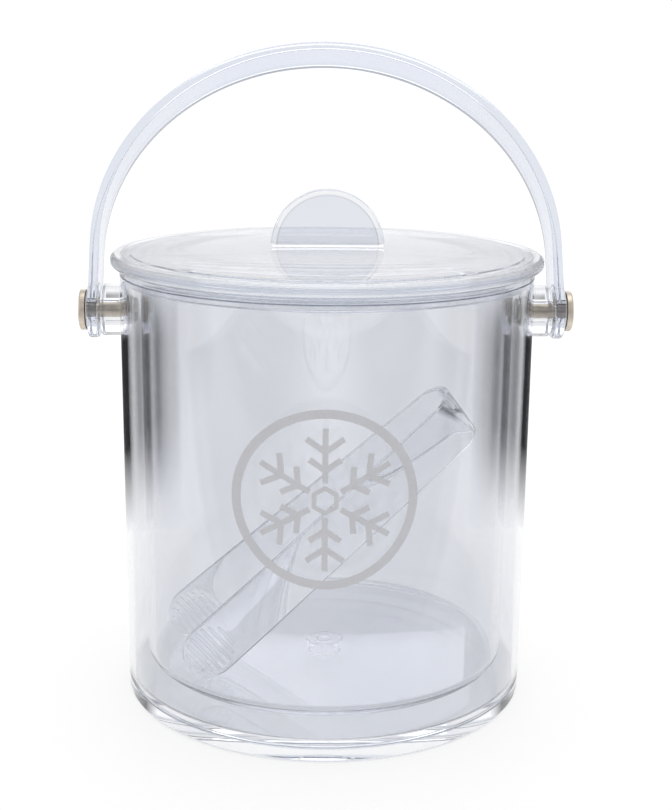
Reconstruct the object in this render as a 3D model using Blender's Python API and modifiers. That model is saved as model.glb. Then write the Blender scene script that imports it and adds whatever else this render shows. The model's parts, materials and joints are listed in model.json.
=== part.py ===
"""Clear double-wall ice bucket with a lid, a bail handle and loose tongs.

The Z axis runs up the middle of the bucket, which stands on z = 0. X runs through both handle
pivots and -Y is the front. Lengths below are in millimetres and mm() turns them into metres.
"""

import math

import bmesh
import bpy
from mathutils import Matrix, Vector

# Gaps
TOUCH = 0.3  # between two pieces that rest on each other
RUNNING = 0.1  # round a shaft, all the way round
# Double wall
BODY_R = 96.0
WALL = 2.8
AIR_GAP = 6.7  # between the two walls
LINER_WALL = 3.2
BODY_TOP = 204.5
BASE_PLATE = 7.0
BASE_STEP = 3.0
FLOOR_GAP = 5.8  # air between the base and the liner's floor
LINER_FILLET = 3.0
RIM_PLATE = 3.0
RIM_SKIRT = 3.5
EDGE = 0.7  # small chamfers
GATE_R = 4.0
GATE_HEIGHT = 0.8
# Lid
LID_OVERHANG = 4.0
LID_EDGE = 5.5
LID_ROLL = 2.4
PANEL_MARGIN = 9.0  # rim left outside the raised panel
PANEL_STEP = 0.5
PANEL_RISE = 1.5
RING_WALL = 4.0
RING_DEPTH = 3.7
RING_CLEARANCE = 2.6
KNOB_R = 26.5
KNOB_THICK = 6.0
KNOB_CHAMFER = 1.5
# Handle
PIVOT_DROP = 22.0  # below the top of the body
STRIP_THICK = 4.5
STRIP_WIDTH = 20.0
ARM_STRAIGHT = 30.0
ARCH_SAG = 6.7  # how much lower the arch is than a half circle
LUG_MARGIN = 3.0  # lug beyond each edge of the strip
LUG_PROUD = 0.2
HANDLE_LEAN = 28.0  # degrees back from upright
# Pivot hardware
BARREL_R = 3.5
BARREL_BORE_R = 2.3
SCREW_R = 2.0
SCREW_REACH = 12.0
CAP_R = 9.5
CAP_THICK = 2.9
COLLAR_R = 12.0
COLLAR_LENGTH = 8.9  # out from the body
CAP_WASHER_R = 9.0
CAP_WASHER = 0.6
LUG_WASHER_R = 6.0
LUG_WASHER = 0.5
BACKING_R = 7.0
BACKING = 0.8
SCREW_HEAD_R = 6.0
SCREW_HEAD = 2.2
# Tongs
TONG_THICK = 3.0
TONG_WIDTH = 25.0
BOW_R = 12.5  # to the middle of the strip
TIP_HALF_GAP = 24.0
FLEX_GAP = 0.5
RIB_COUNT = 7
RIB_WIDTH = 1.2
RIB_HEIGHT = 1.0
RIB_MARGIN = 2.0  # plain edge round the ribs
TONG_HEADING = 15.0  # degrees, plan direction from the pads to the bow
TONG_SLOPE = 38.2  # degrees above the floor
TONG_ASIDE = 5.8  # how far the tongs lie to the front of the bucket's axis
PAD_CLEARANCE = 2.1  # from the front pad to the liner
BOW_STANDOFF = 16.4  # from the top of the bow to the liner
# Roundness
LARGE_STEPS = 60
SMALL_STEPS = 24
ARCH_STEPS = 28
BOW_STEPS = 12

TUBE_INNER_R = BODY_R - WALL
LINER_R = TUBE_INNER_R - AIR_GAP
LINER_INNER_R = LINER_R - LINER_WALL
LINER_UNDERSIDE = BASE_PLATE + BASE_STEP + FLOOR_GAP
FLOOR_TOP = LINER_UNDERSIDE + LINER_WALL
RIM_UNDERSIDE = BODY_TOP - RIM_PLATE
WALL_TOP = RIM_UNDERSIDE - TOUCH
LID_R = BODY_R + LID_OVERHANG
PANEL_R = LID_R - PANEL_MARGIN
LID_UNDERSIDE = BODY_TOP + TOUCH
LID_RIM_TOP = LID_UNDERSIDE + LID_EDGE
LID_TOP = LID_RIM_TOP + PANEL_STEP + PANEL_RISE
# Outwards along a pivot
PIVOT_Z = BODY_TOP - PIVOT_DROP
COLLAR_INNER = BODY_R - WALL / 2
COLLAR_OUTER = BODY_R + COLLAR_LENGTH
LUG_WASHER_INNER = COLLAR_OUTER + TOUCH
LUG_INNER = LUG_WASHER_INNER + LUG_WASHER + TOUCH
HANDLE_HALF_SPAN = LUG_INNER + LUG_PROUD + STRIP_THICK
LUG_OUTER = HANDLE_HALF_SPAN + LUG_PROUD
CAP_WASHER_INNER = LUG_OUTER + TOUCH
CAP_INNER = CAP_WASHER_INNER + CAP_WASHER + TOUCH
# Inwards from the wall
BARREL_END = TUBE_INNER_R - RUNNING
BACKING_OUTER = math.sqrt(TUBE_INNER_R**2 - BACKING_R**2) - TOUCH
BACKING_INNER = BACKING_OUTER - BACKING
HEAD_OUTER = BACKING_INNER - TOUCH
HEAD_INNER = HEAD_OUTER - SCREW_HEAD
LUG_R = STRIP_WIDTH / 2 + LUG_MARGIN
ARCH_RISE = HANDLE_HALF_SPAN - ARCH_SAG
# In plan, the front pad's outer corner lies PAD_CLEARANCE inside the liner
PAD_R = TONG_WIDTH / 2
PAD_CORNER_ASIDE = TONG_ASIDE + TIP_HALF_GAP + TONG_THICK / 2
PAD_CORNER_BACK = math.sqrt((LINER_INNER_R - PAD_CLEARANCE) ** 2 - PAD_CORNER_ASIDE**2)
PADS_BACK = PAD_CORNER_BACK - PAD_R
TONG_RUN = PADS_BACK + LINER_INNER_R - BOW_STANDOFF
TONG_REACH = TONG_RUN / math.cos(math.radians(TONG_SLOPE))  # pads' centres to the top of the bow


def mm(*lengths):
    """Metres from millimetres: one number, or a vector from three."""
    if len(lengths) == 1:
        return lengths[0] * 0.001
    return Vector(lengths) * 0.001


def new_collection(name):
    made = bpy.data.collections.new(name)
    bpy.context.scene.collection.children.link(made)
    return made


def finish(name, colour, roughness, metallic=0.0, clear=0.0):
    """A Principled material. clear is how much light goes through."""
    made = bpy.data.materials.new(name)
    made.use_nodes = True
    shader = made.node_tree.nodes["Principled BSDF"]
    shader.inputs["Base Color"].default_value = (*colour, 1.0)
    shader.inputs["Roughness"].default_value = roughness
    shader.inputs["Metallic"].default_value = metallic
    shader.inputs["Transmission Weight"].default_value = clear
    shader.inputs["IOR"].default_value = 1.49
    return made


def acrylic(name):
    return finish(name, (0.90, 0.92, 0.95), 0.05, clear=1.0)


def satin_metal(name):
    return finish(name, (0.60, 0.54, 0.47), 0.35, metallic=1.0)


def piece(name, mesh, material, parent=None):
    """A named part in the bucket's collection."""
    made = bpy.data.objects.new(name, mesh)
    PARTS.objects.link(made)
    made.parent = parent
    mesh.materials.clear()
    mesh.materials.append(material)
    return made


def cutter(made):
    """Turns a part into a cutter: out of the parts, out of renders, shown as wire."""
    PARTS.objects.unlink(made)
    CUTTERS.objects.link(made)
    made.hide_render = True
    made.display_type = "WIRE"
    return made


def boolean(made, operation, other):
    change = made.modifiers.new(other.name, "BOOLEAN")
    change.operation = operation
    change.solver = "EXACT"
    change.object = other


def pivot_empty(name, location, rotation=(0.0, 0.0, 0.0), parent=None):
    """An empty that marks where a moving piece turns or slides."""
    made = bpy.data.objects.new(name, None)
    PARTS.objects.link(made)
    made.location = location
    made.rotation_euler = rotation
    made.parent = parent
    return made


def turned(name, profile, steps, material, closed=False, parent=None):
    """A turned piece from (radius, height) points, which run down its outer side."""
    mesh = bpy.data.meshes.new(name)
    points = [mm(radius, 0.0, height) for radius, height in profile]
    edges = [(i, i + 1) for i in range(len(points) - 1)]
    if closed:
        edges.append((len(points) - 1, 0))
    mesh.from_pydata(points, edges, [])
    made = piece(name, mesh, material, parent)
    screw = made.modifiers.new("Screw", "SCREW")
    screw.axis = "Z"
    screw.angle = math.tau
    screw.steps = steps
    screw.render_steps = steps
    screw.use_merge_vertices = True
    screw.merge_threshold = 0.00001
    screw.use_smooth_shade = True
    return made


def cylinder_profile(radius, low, high):
    return [(0.0, high), (radius, high), (radius, low), (0.0, low)]


def washer_profile(bore, radius, low, high):
    return [(radius, high), (radius, low), (bore, low), (bore, high)]


def along_x(made, side):
    """Turns a piece whose axis is Z so that its axis points out through one pivot."""
    made.location = mm(0.0, 0.0, PIVOT_Z)
    made.rotation_euler = (0.0, side * math.pi / 2, 0.0)


def ribbon(name, path, width, thickness, material, parent):
    """A strip bent along a path of (x, z) points, its width along Y and the path at mid thickness."""
    mesh = bpy.data.meshes.new(name)
    bm = bmesh.new()
    verts = [bm.verts.new(mm(x, -width / 2, z)) for x, z in path]
    edges = [bm.edges.new(pair) for pair in zip(verts, verts[1:])]
    grown = bmesh.ops.extrude_edge_only(bm, edges=edges)["geom"]
    rear = [g for g in grown if isinstance(g, bmesh.types.BMVert)]
    bmesh.ops.translate(bm, vec=mm(0.0, width, 0.0), verts=rear)
    bm.to_mesh(mesh)
    bm.free()
    made = piece(name, mesh, material, parent)
    wall = made.modifiers.new("Solidify", "SOLIDIFY")
    wall.thickness = mm(thickness)
    wall.offset = 0.0
    wall.use_even_offset = True
    return made


def plate(name, outline, thickness, material, parent=None):
    """A flat piece from a closed outline of (x, y) points, its thickness along its own Z."""
    curve = bpy.data.curves.new(name, "CURVE")
    curve.dimensions = "2D"
    curve.fill_mode = "BOTH"
    curve.extrude = mm(thickness / 2)
    spline = curve.splines.new("POLY")
    spline.points.add(len(outline) - 1)
    for point, (x, y) in zip(spline.points, outline):
        point.co = (mm(x), mm(y), 0.0, 1.0)
    spline.use_cyclic_u = True
    drawn = bpy.data.objects.new(name + "_outline", curve)
    PARTS.objects.link(drawn)
    graph = bpy.context.evaluated_depsgraph_get()
    mesh = bpy.data.meshes.new_from_object(drawn.evaluated_get(graph))
    bpy.data.objects.remove(drawn)
    bm = bmesh.new()
    bm.from_mesh(mesh)
    bmesh.ops.remove_doubles(bm, verts=bm.verts, dist=0.00001)
    bm.to_mesh(mesh)
    bm.free()
    return piece(name, mesh, material, parent)


def arc(radius, start, stop, steps):
    """Points on a circle from one angle to another, in degrees."""
    angles = [math.radians(start + (stop - start) * i / steps) for i in range(steps + 1)]
    return [(radius * math.cos(a), radius * math.sin(a)) for a in angles]


def make_outer_shell():
    profile = [
        (BODY_R, WALL_TOP),
        (BODY_R, BASE_PLATE + TOUCH),
        (TUBE_INNER_R, BASE_PLATE + TOUCH),
        (TUBE_INNER_R, WALL_TOP),
    ]
    shell = turned("outer_shell", profile, LARGE_STEPS, acrylic("shell acrylic"), closed=True)
    reach = BODY_R + WALL
    drill = turned(
        "pivot_drill",
        cylinder_profile(BARREL_R + RUNNING, -reach, reach),
        SMALL_STEPS,
        CUTTER_FINISH,
    )
    along_x(drill, 1)
    boolean(shell, "DIFFERENCE", cutter(drill))


def make_base_disc():
    step_r = TUBE_INNER_R - TOUCH
    profile = [
        (0.0, BASE_PLATE + BASE_STEP),
        (step_r - EDGE, BASE_PLATE + BASE_STEP),
        (step_r, BASE_PLATE + BASE_STEP - EDGE),
        (step_r, BASE_PLATE),
        (BODY_R, BASE_PLATE),
        (BODY_R, EDGE),
        (BODY_R - EDGE, 0.0),
        (0.0, 0.0),
    ]
    turned("base_disc", profile, LARGE_STEPS, acrylic("base acrylic"))


def make_inner_liner():
    underside = LINER_UNDERSIDE
    outer_fillet = LINER_FILLET + LINER_WALL
    bevel = 1.0 - math.sqrt(0.5)
    profile = [
        (0.0, FLOOR_TOP),
        (LINER_INNER_R - LINER_FILLET, FLOOR_TOP),
        (LINER_INNER_R - bevel * LINER_FILLET, FLOOR_TOP + bevel * LINER_FILLET),
        (LINER_INNER_R, FLOOR_TOP + LINER_FILLET),
        (LINER_INNER_R, WALL_TOP),
        (LINER_R, WALL_TOP),
        (LINER_R, underside + outer_fillet),
        (LINER_R - bevel * outer_fillet, underside + bevel * outer_fillet),
        (LINER_R - outer_fillet, underside),
        (GATE_R, underside),
        (GATE_R - GATE_HEIGHT, underside - GATE_HEIGHT),
        (0.0, underside - GATE_HEIGHT),
    ]
    turned("inner_liner", profile, LARGE_STEPS, acrylic("liner acrylic"))


def make_rim_ring():
    skirt_low = RIM_UNDERSIDE - RIM_SKIRT
    profile = [
        (BODY_R - EDGE, BODY_TOP),
        (BODY_R, BODY_TOP - EDGE),
        (BODY_R, RIM_UNDERSIDE),
        (TUBE_INNER_R - TOUCH, RIM_UNDERSIDE),
        (TUBE_INNER_R - TOUCH, skirt_low),
        (LINER_R + TOUCH, skirt_low),
        (LINER_R + TOUCH, RIM_UNDERSIDE),
        (LINER_INNER_R, RIM_UNDERSIDE),
        (LINER_INNER_R, BODY_TOP - EDGE),
        (LINER_INNER_R + EDGE, BODY_TOP),
    ]
    turned("rim_ring", profile, LARGE_STEPS, acrylic("rim acrylic"), closed=True)


def panel_height(radius):
    """Top of the lid's domed panel at a distance from the middle."""
    return LID_TOP - PANEL_RISE * (radius / PANEL_R) ** 2


def make_lid():
    lid = pivot_empty("lid_slide", mm(0.0, 0.0, BODY_TOP))
    panel = [PANEL_R * share for share in (0.0, 0.35, 0.7, 1.0)]
    profile = [(r, panel_height(r)) for r in panel]
    profile.append((PANEL_R + PANEL_STEP, LID_RIM_TOP))
    roll = min(LID_ROLL, 0.45 * LID_EDGE)
    centre_r = LID_R - roll
    high = LID_RIM_TOP - roll
    low = LID_UNDERSIDE + roll
    profile += [(centre_r + x, high + y) for x, y in arc(roll, 90, 0, 3)]
    profile += [(centre_r + x, low + y) for x, y in arc(roll, 0, -90, 3)]
    profile.append((0.0, LID_UNDERSIDE))
    lowered = [(r, z - BODY_TOP) for r, z in profile]
    turned("lid_plate", lowered, LARGE_STEPS, acrylic("lid acrylic"), parent=lid)

    ring_r = LINER_INNER_R - RING_CLEARANCE
    ring = washer_profile(ring_r - RING_WALL, ring_r, -RING_DEPTH, 0.0)
    turned(
        "lid_locating_ring",
        ring,
        LARGE_STEPS,
        acrylic("locating ring acrylic"),
        closed=True,
        parent=lid,
    )

    knob = plate("lid_knob", arc(KNOB_R, 0, 180, 24), KNOB_THICK, acrylic("knob acrylic"), lid)
    knob.location = mm(0.0, 0.0, LID_TOP + TOUCH - BODY_TOP)
    knob.rotation_euler = (math.pi / 2, 0.0, 0.0)
    chamfer = knob.modifiers.new("Bevel", "BEVEL")
    chamfer.width = mm(KNOB_CHAMFER)
    chamfer.segments = 1
    chamfer.limit_method = "ANGLE"
    chamfer.angle_limit = math.radians(60)
    chamfer.use_clamp_overlap = False


def make_handle():
    pivot = pivot_empty(
        "handle_pivot", mm(0.0, 0.0, PIVOT_Z), (-math.radians(HANDLE_LEAN), 0.0, 0.0)
    )
    clear = acrylic("handle acrylic")
    half_span = HANDLE_HALF_SPAN - STRIP_THICK / 2
    rise = ARCH_RISE - STRIP_THICK / 2
    foot = -math.sqrt(LUG_R**2 - (STRIP_WIDTH / 2) ** 2) / 2
    arch = [(half_span * x, ARM_STRAIGHT + rise * z) for x, z in arc(1.0, 180, 0, ARCH_STEPS)]
    path = [(-half_span, foot), *arch, (half_span, foot)]
    handle = ribbon("handle", path, STRIP_WIDTH, STRIP_THICK, clear, pivot)
    for side, word in ((-1, "left"), (1, "right")):
        lug = turned(
            "lug_" + word,
            cylinder_profile(LUG_R, LUG_INNER, LUG_OUTER),
            2 * SMALL_STEPS,
            CUTTER_FINISH,
            parent=pivot,
        )
        lug.rotation_euler = (0.0, side * math.pi / 2, 0.0)
        boolean(handle, "UNION", cutter(lug))
    drill = turned(
        "lug_drill",
        cylinder_profile(BARREL_R + RUNNING, -LUG_OUTER - WALL, LUG_OUTER + WALL),
        SMALL_STEPS,
        CUTTER_FINISH,
        parent=pivot,
    )
    drill.rotation_euler = (0.0, math.pi / 2, 0.0)
    boolean(handle, "DIFFERENCE", cutter(drill))


def make_pivot(side, word, saddle):
    """One side's fastener stack, from the air gap outwards."""
    metal = satin_metal("pivot metal " + word)
    post = [
        (0.0, CAP_INNER + CAP_THICK),
        (CAP_R - EDGE, CAP_INNER + CAP_THICK),
        (CAP_R, CAP_INNER + CAP_THICK - EDGE),
        (CAP_R, CAP_INNER),
        (BARREL_R, CAP_INNER),
        (BARREL_R, BARREL_END),
        (BARREL_BORE_R, BARREL_END),
        (BARREL_BORE_R, BARREL_END + SCREW_REACH + TOUCH),
        (0.0, BARREL_END + SCREW_REACH + TOUCH),
    ]
    along_x(turned("pivot_post_" + word, post, SMALL_STEPS, metal), side)

    screw = [
        (0.0, BARREL_END + SCREW_REACH),
        (SCREW_R, BARREL_END + SCREW_REACH),
        (SCREW_R, HEAD_OUTER),
        (SCREW_HEAD_R, HEAD_OUTER),
        (SCREW_HEAD_R, HEAD_INNER + EDGE),
        (SCREW_HEAD_R - EDGE, HEAD_INNER),
        (0.0, HEAD_INNER),
    ]
    steel = satin_metal("screw steel " + word)
    along_x(turned("pivot_screw_" + word, screw, SMALL_STEPS, steel), side)

    collar = turned(
        "pivot_collar_" + word,
        washer_profile(BARREL_R + RUNNING, COLLAR_R, COLLAR_INNER, COLLAR_OUTER),
        2 * SMALL_STEPS,
        acrylic("collar acrylic " + word),
        closed=True,
    )
    along_x(collar, side)
    boolean(collar, "DIFFERENCE", saddle)

    nylon = finish("washer nylon " + word, (0.85, 0.85, 0.83), 0.5)
    brass = finish("washer brass " + word, (0.72, 0.60, 0.33), 0.35, metallic=1.0)
    barrel_fit = BARREL_R + RUNNING
    cap_outer = CAP_WASHER_INNER + CAP_WASHER
    lug_outer = LUG_WASHER_INNER + LUG_WASHER
    washers = (
        ("cap_washer_", nylon, barrel_fit, CAP_WASHER_R, CAP_WASHER_INNER, cap_outer),
        ("lug_washer_", brass, barrel_fit, LUG_WASHER_R, LUG_WASHER_INNER, lug_outer),
        ("backing_washer_", steel.copy(), BARREL_BORE_R, BACKING_R, BACKING_INNER, BACKING_OUTER),
    )
    for name, material, bore, radius, low, high in washers:
        ring = washer_profile(bore, radius, low, high)
        along_x(turned(name + word, ring, SMALL_STEPS, material, closed=True), side)


def make_tong_arm(word, side, parent):
    """One arm with a round ribbed pad. Its origin is where it bends out of the bow."""
    clear = acrylic("tongs acrylic " + word)
    hinge_height = TONG_REACH - TONG_THICK / 2 - BOW_R
    splay = math.atan((TIP_HALF_GAP - BOW_R) / hinge_height)
    length = math.hypot(TIP_HALF_GAP - BOW_R, hinge_height)
    outline = [(PAD_R, -FLEX_GAP / 2), (-PAD_R, -FLEX_GAP / 2)]
    outline += [(x, y - length) for x, y in arc(PAD_R, 180, 360, 16)]
    hinge = pivot_empty(
        "tong_flex_" + word,
        mm(side * BOW_R, 0.0, hinge_height),
        (0.0, -side * splay, 0.0),
        parent,
    )
    arm = plate("tong_" + word + "_arm", outline, TONG_THICK, clear, hinge)
    arm.rotation_euler = (math.pi / 2, 0.0, math.pi / 2)
    ribs = bmesh.new()
    sink = TONG_THICK / 4
    field_r = PAD_R - RIB_MARGIN
    pitch = 2 * field_r / RIB_COUNT
    for index in range(RIB_COUNT):
        height = (index - (RIB_COUNT - 1) / 2) * pitch
        chord = 2 * math.sqrt(field_r**2 - height**2)
        inward = -side * (TONG_THICK / 2 + (RIB_HEIGHT - sink) / 2)
        rib = bmesh.ops.create_cube(ribs, size=1.0)["verts"]
        bmesh.ops.scale(ribs, vec=mm(RIB_HEIGHT + sink, chord, RIB_WIDTH), verts=rib)
        bmesh.ops.translate(ribs, vec=mm(inward, 0.0, height - length), verts=rib)
    mesh = bpy.data.meshes.new("ribs_" + word)
    ribs.to_mesh(mesh)
    ribs.free()
    boolean(arm, "UNION", cutter(piece("ribs_" + word, mesh, CUTTER_FINISH, hinge)))


def make_tongs():
    """A U of bent strip. Its frame stands at the pads: X opens it, Y is its width, Z is its length."""
    heading = math.radians(TONG_HEADING)
    slope = math.radians(TONG_SLOPE)
    ahead = Vector((math.cos(heading), math.sin(heading), 0.0))
    opening = Vector((-math.sin(heading), math.cos(heading), 0.0))
    pads = -mm(PADS_BACK) * ahead - mm(TONG_ASIDE) * opening
    pads.z = mm(FLOOR_TOP + TOUCH + PAD_R)
    tongs = pivot_empty("tongs_frame", pads)
    along = math.cos(slope) * ahead + Vector((0.0, 0.0, math.sin(slope)))
    across = along.cross(opening)
    tongs.rotation_euler = Matrix((opening, across, along)).transposed().to_euler()
    clear = acrylic("tongs acrylic bow")
    centre = TONG_REACH - TONG_THICK / 2 - BOW_R
    path = [(x, centre + FLEX_GAP / 2 + z) for x, z in arc(BOW_R, 180, 0, BOW_STEPS)]
    ribbon("tong_bow", path, TONG_WIDTH, TONG_THICK, clear, tongs)
    make_tong_arm("front", -1, tongs)
    make_tong_arm("rear", 1, tongs)


for old in list(bpy.data.objects):
    bpy.data.objects.remove(old, do_unlink=True)
PARTS = new_collection("ice_bucket")
CUTTERS = new_collection("cutters")
CUTTER_FINISH = finish("cutter", (0.9, 0.3, 0.2), 0.6)

make_outer_shell()
make_base_disc()
make_inner_liner()
make_rim_ring()
make_lid()
make_handle()
wall_saddle = turned(
    "wall_saddle",
    cylinder_profile(BODY_R + TOUCH, BASE_PLATE, BODY_TOP),
    LARGE_STEPS,
    CUTTER_FINISH,
)
cutter(wall_saddle)
make_pivot(-1, "left", wall_saddle)
make_pivot(1, "right", wall_saddle)
make_tongs()
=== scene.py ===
"""Clear double-wall ice bucket with a lid, a bail handle and tongs, on a pale studio table."""

import json
import math

import bpy
from mathutils import Matrix, Vector


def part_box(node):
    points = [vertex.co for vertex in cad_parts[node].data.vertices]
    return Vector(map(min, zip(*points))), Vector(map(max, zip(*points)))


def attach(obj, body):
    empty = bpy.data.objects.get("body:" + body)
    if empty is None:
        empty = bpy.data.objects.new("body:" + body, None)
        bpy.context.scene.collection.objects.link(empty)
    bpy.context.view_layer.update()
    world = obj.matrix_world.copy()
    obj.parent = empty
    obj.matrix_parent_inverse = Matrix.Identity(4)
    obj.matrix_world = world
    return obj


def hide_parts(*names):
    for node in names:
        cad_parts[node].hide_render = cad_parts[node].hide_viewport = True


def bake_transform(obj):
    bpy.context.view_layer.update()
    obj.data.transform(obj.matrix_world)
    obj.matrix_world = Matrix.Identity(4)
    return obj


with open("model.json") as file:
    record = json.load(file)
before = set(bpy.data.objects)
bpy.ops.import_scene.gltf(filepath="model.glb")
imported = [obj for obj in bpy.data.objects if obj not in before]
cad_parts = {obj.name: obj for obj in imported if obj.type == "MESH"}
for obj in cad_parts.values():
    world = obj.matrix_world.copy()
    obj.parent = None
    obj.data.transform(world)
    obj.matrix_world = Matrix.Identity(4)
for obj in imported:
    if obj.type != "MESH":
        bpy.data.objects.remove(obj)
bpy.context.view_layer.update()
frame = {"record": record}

MM = 0.001
UP = Vector((0.0, 0.0, 1.0))
ORIGIN = Vector((0.0, 0.0, 0.0))
FINE_TURN = 192  # faces round the bucket
SMALL_TURN = 64  # faces round a pivot
MERGE = 0.005 * MM  # points closer than this are one point
LINE_MERGE = 0.002 * MM


def joint_place(name):
    """Where a joint turns, from the record."""
    joints = frame["record"]["behaviour"]["joints"]
    return Vector(next(joint["pos_m"] for joint in joints if joint["name"] == name))


def low_high(node):
    """A node's lowest and highest corners at rest."""
    low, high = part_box(node)
    return Vector(low), Vector(high)


# Sizes read from the frame
SHELL_LOW, SHELL_HIGH = low_high("outer_shell")
LINER_LOW, LINER_HIGH = low_high("inner_liner")
RIM_LOW, RIM_HIGH = low_high("rim_ring")
BASE_LOW, BASE_HIGH = low_high("base_disc")
LID_LOW, LID_HIGH = low_high("lid_plate")
LOCATOR_LOW, LOCATOR_HIGH = low_high("lid_locating_ring")
KNOB_LOW, KNOB_HIGH = low_high("lid_knob")
COLLAR_HIGH = low_high("pivot_collar_right")[1]
POST_LOW, POST_HIGH = low_high("pivot_post_right")
SCREW_LOW, SCREW_HIGH = low_high("pivot_screw_right")
PIVOT = joint_place("handle_swing")
FLEX_FRONT = joint_place("tong_front_squeeze")
FLEX_REAR = joint_place("tong_rear_squeeze")

# Sizes of the pieces, beyond what the frame says
BODY_R = SHELL_HIGH.x
WALL = 2.8 * MM
LINER_R = LINER_HIGH.x
LINER_WALL = 3.2 * MM
LINER_FILLET = 3.0 * MM
LINER_GATE = 0.8 * MM  # how far the moulding gate hangs below the liner's floor
EDGE = 0.5 * MM  # the usual rounding of an edge
TOUCH = 0.3 * MM  # the gap between neighbours
BARREL_R = 3.5 * MM
BARREL_FIT = 3.6 * MM  # the hole that a barrel turns in
SCREW_BORE_R = 2.3 * MM
SCREW_R = 2.0 * MM
SCREW_HEAD_THICK = 2.2 * MM
SLOT_WIDTH = 1.0 * MM
SLOT_DEPTH = 1.6 * MM
CAP_THICK = 2.9 * MM
LUG_WASHER_THICK = 0.5 * MM
STRIP_THICK = 4.5 * MM
STRIP_WIDTH = 20.0 * MM
ARM_STRAIGHT = 30.0 * MM
ARCH_RISE = 104.0 * MM
HANDLE_LEAN = math.radians(28.0)
LUG_R = 13.0 * MM
LUG_PROUD = 0.2 * MM
TONG_THICK = 3.0 * MM
TONG_WIDTH = 25.0 * MM
BOW_R = 12.5 * MM
TIP_HALF_GAP = 24.0 * MM
TONG_HEADING = math.radians(15.0)
TONG_SLOPE = math.radians(38.2)
RIB_COUNT = 7
RIB_DEEP = 1.6 * MM
RIB_BROAD = 1.4 * MM
PAD_BORDER = 2.0 * MM  # the plain edge round the ribs
PRINT_R = 39.0 * MM
PRINT_ASIDE = -3.0 * MM
PRINT_HEIGHT = 119.5 * MM
RING_STROKE = 3.8 * MM
ARM_STROKE = 2.5 * MM
ARM_BASE = 7.6 * MM
ARM_TIP = 31.0 * MM
ARM_COUNT = 6
BRANCHES = ((13.0 * MM, 8.0 * MM), (21.0 * MM, 9.5 * MM))  # height on the arm, length
BRANCH_LEAN = math.radians(55)
HEXAGON_R = 6.5 * MM
INK_LIFT = 0.06 * MM
INK_THICK = 0.08 * MM


# ---------------------------------------------------------------- modelling by hand


def clear_selection():
    if bpy.context.object and bpy.context.object.mode != "OBJECT":
        bpy.ops.object.mode_set(mode="OBJECT")
    bpy.ops.object.select_all(action="DESELECT")


def take(piece):
    """Makes a piece the only one selected, and active."""
    clear_selection()
    piece.select_set(True)
    bpy.context.view_layer.objects.active = piece


def edit():
    bpy.ops.object.mode_set(mode="EDIT")


def leave():
    bpy.ops.object.mode_set(mode="OBJECT")


def face_outwards():
    """Turns every face outwards and leaves edit mode."""
    bpy.ops.mesh.select_all(action="SELECT")
    bpy.ops.mesh.normals_make_consistent(inside=False)
    leave()


def settle():
    """Moves the object's place, turn and size into its mesh."""
    bpy.ops.object.transform_apply(location=True, rotation=True, scale=True)


def named(name):
    made = bpy.context.object
    made.name = name
    made.data.name = name
    return made


def draw_line(name, points, closed=False):
    """A line of vertices, drawn by extruding one point after another."""
    clear_selection()
    bpy.ops.mesh.primitive_plane_add(size=MM, location=ORIGIN)
    line = named(name)
    edit()
    bpy.ops.mesh.select_all(action="SELECT")
    bpy.ops.mesh.merge(type="CENTER")
    bpy.ops.transform.translate(value=points[0])
    route = list(points) + ([points[0]] if closed else [])
    for here, there in zip(route, route[1:]):
        bpy.ops.mesh.extrude_vertices_move(TRANSFORM_OT_translate={"value": there - here})
    bpy.ops.mesh.select_all(action="SELECT")
    bpy.ops.mesh.remove_doubles(threshold=LINE_MERGE)
    return line


def smooth(piece, angle=30.0):
    take(piece)
    bpy.ops.object.shade_smooth_by_angle(angle=math.radians(angle))
    return piece


def rounded(corners, radius, steps=4, closed=True):
    """An outline whose corners are rounded. A corner with a third value has its own radius."""
    points = [Vector(corner[:2]) for corner in corners]
    count = len(points)
    outline = []
    for index, corner in enumerate(points):
        own = corners[index][2] if len(corners[index]) > 2 else radius
        at_end = index in (0, count - 1) and not closed
        if at_end or own == 0.0:
            outline.append(corner)
            continue
        back = (points[index - 1] - corner).normalized()
        ahead = (points[(index + 1) % count] - corner).normalized()
        half = back.angle(ahead) / 2
        reach = own / math.tan(half)
        centre = corner + (back + ahead).normalized() * own / math.sin(half)
        first = (corner + back * reach) - centre
        last = (corner + ahead * reach) - centre
        turn = first.angle_signed(last)
        for step in range(steps + 1):
            outline.append(centre + Matrix.Rotation(-turn * step / steps, 2) @ first)
    return outline


def lathe(name, outline, steps, closed=True, side=0):
    """A turned piece. The outline is (radius, height); with a side it turns about that pivot."""
    if side:
        points = [Vector((side * height, 0.0, PIVOT.z + radius)) for radius, height in outline]
        axis = Vector((side, 0.0, 0.0))
        centre = PIVOT
    else:
        points = [Vector((radius, 0.0, height)) for radius, height in outline]
        axis = UP
        centre = ORIGIN
    piece = draw_line(name, points, closed)
    bpy.ops.mesh.spin(steps=steps, angle=math.tau, center=centre, axis=axis)
    bpy.ops.mesh.select_all(action="SELECT")
    bpy.ops.mesh.remove_doubles(threshold=MERGE)
    face_outwards()
    return smooth(piece)


def modify(piece, kind, **settings):
    """Adds a modifier, sets it and applies it."""
    take(piece)
    change = piece.modifiers.new(kind.title(), kind)
    for name, value in settings.items():
        setattr(change, name, value)
    bpy.ops.object.modifier_apply(modifier=change.name)


def bevel(piece, width, segments, degrees, **settings):
    """Rounds the edges that turn more than an angle."""
    limit = math.radians(degrees)
    settings.update(width=width, segments=segments, limit_method="ANGLE", angle_limit=limit)
    modify(piece, "BEVEL", **settings)


def combine(piece, other, operation):
    """Joins a piece with another, or cuts it by the other, which is used up."""
    modify(piece, "BOOLEAN", object=other, operation=operation, solver="EXACT")
    bpy.data.objects.remove(other)


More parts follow.
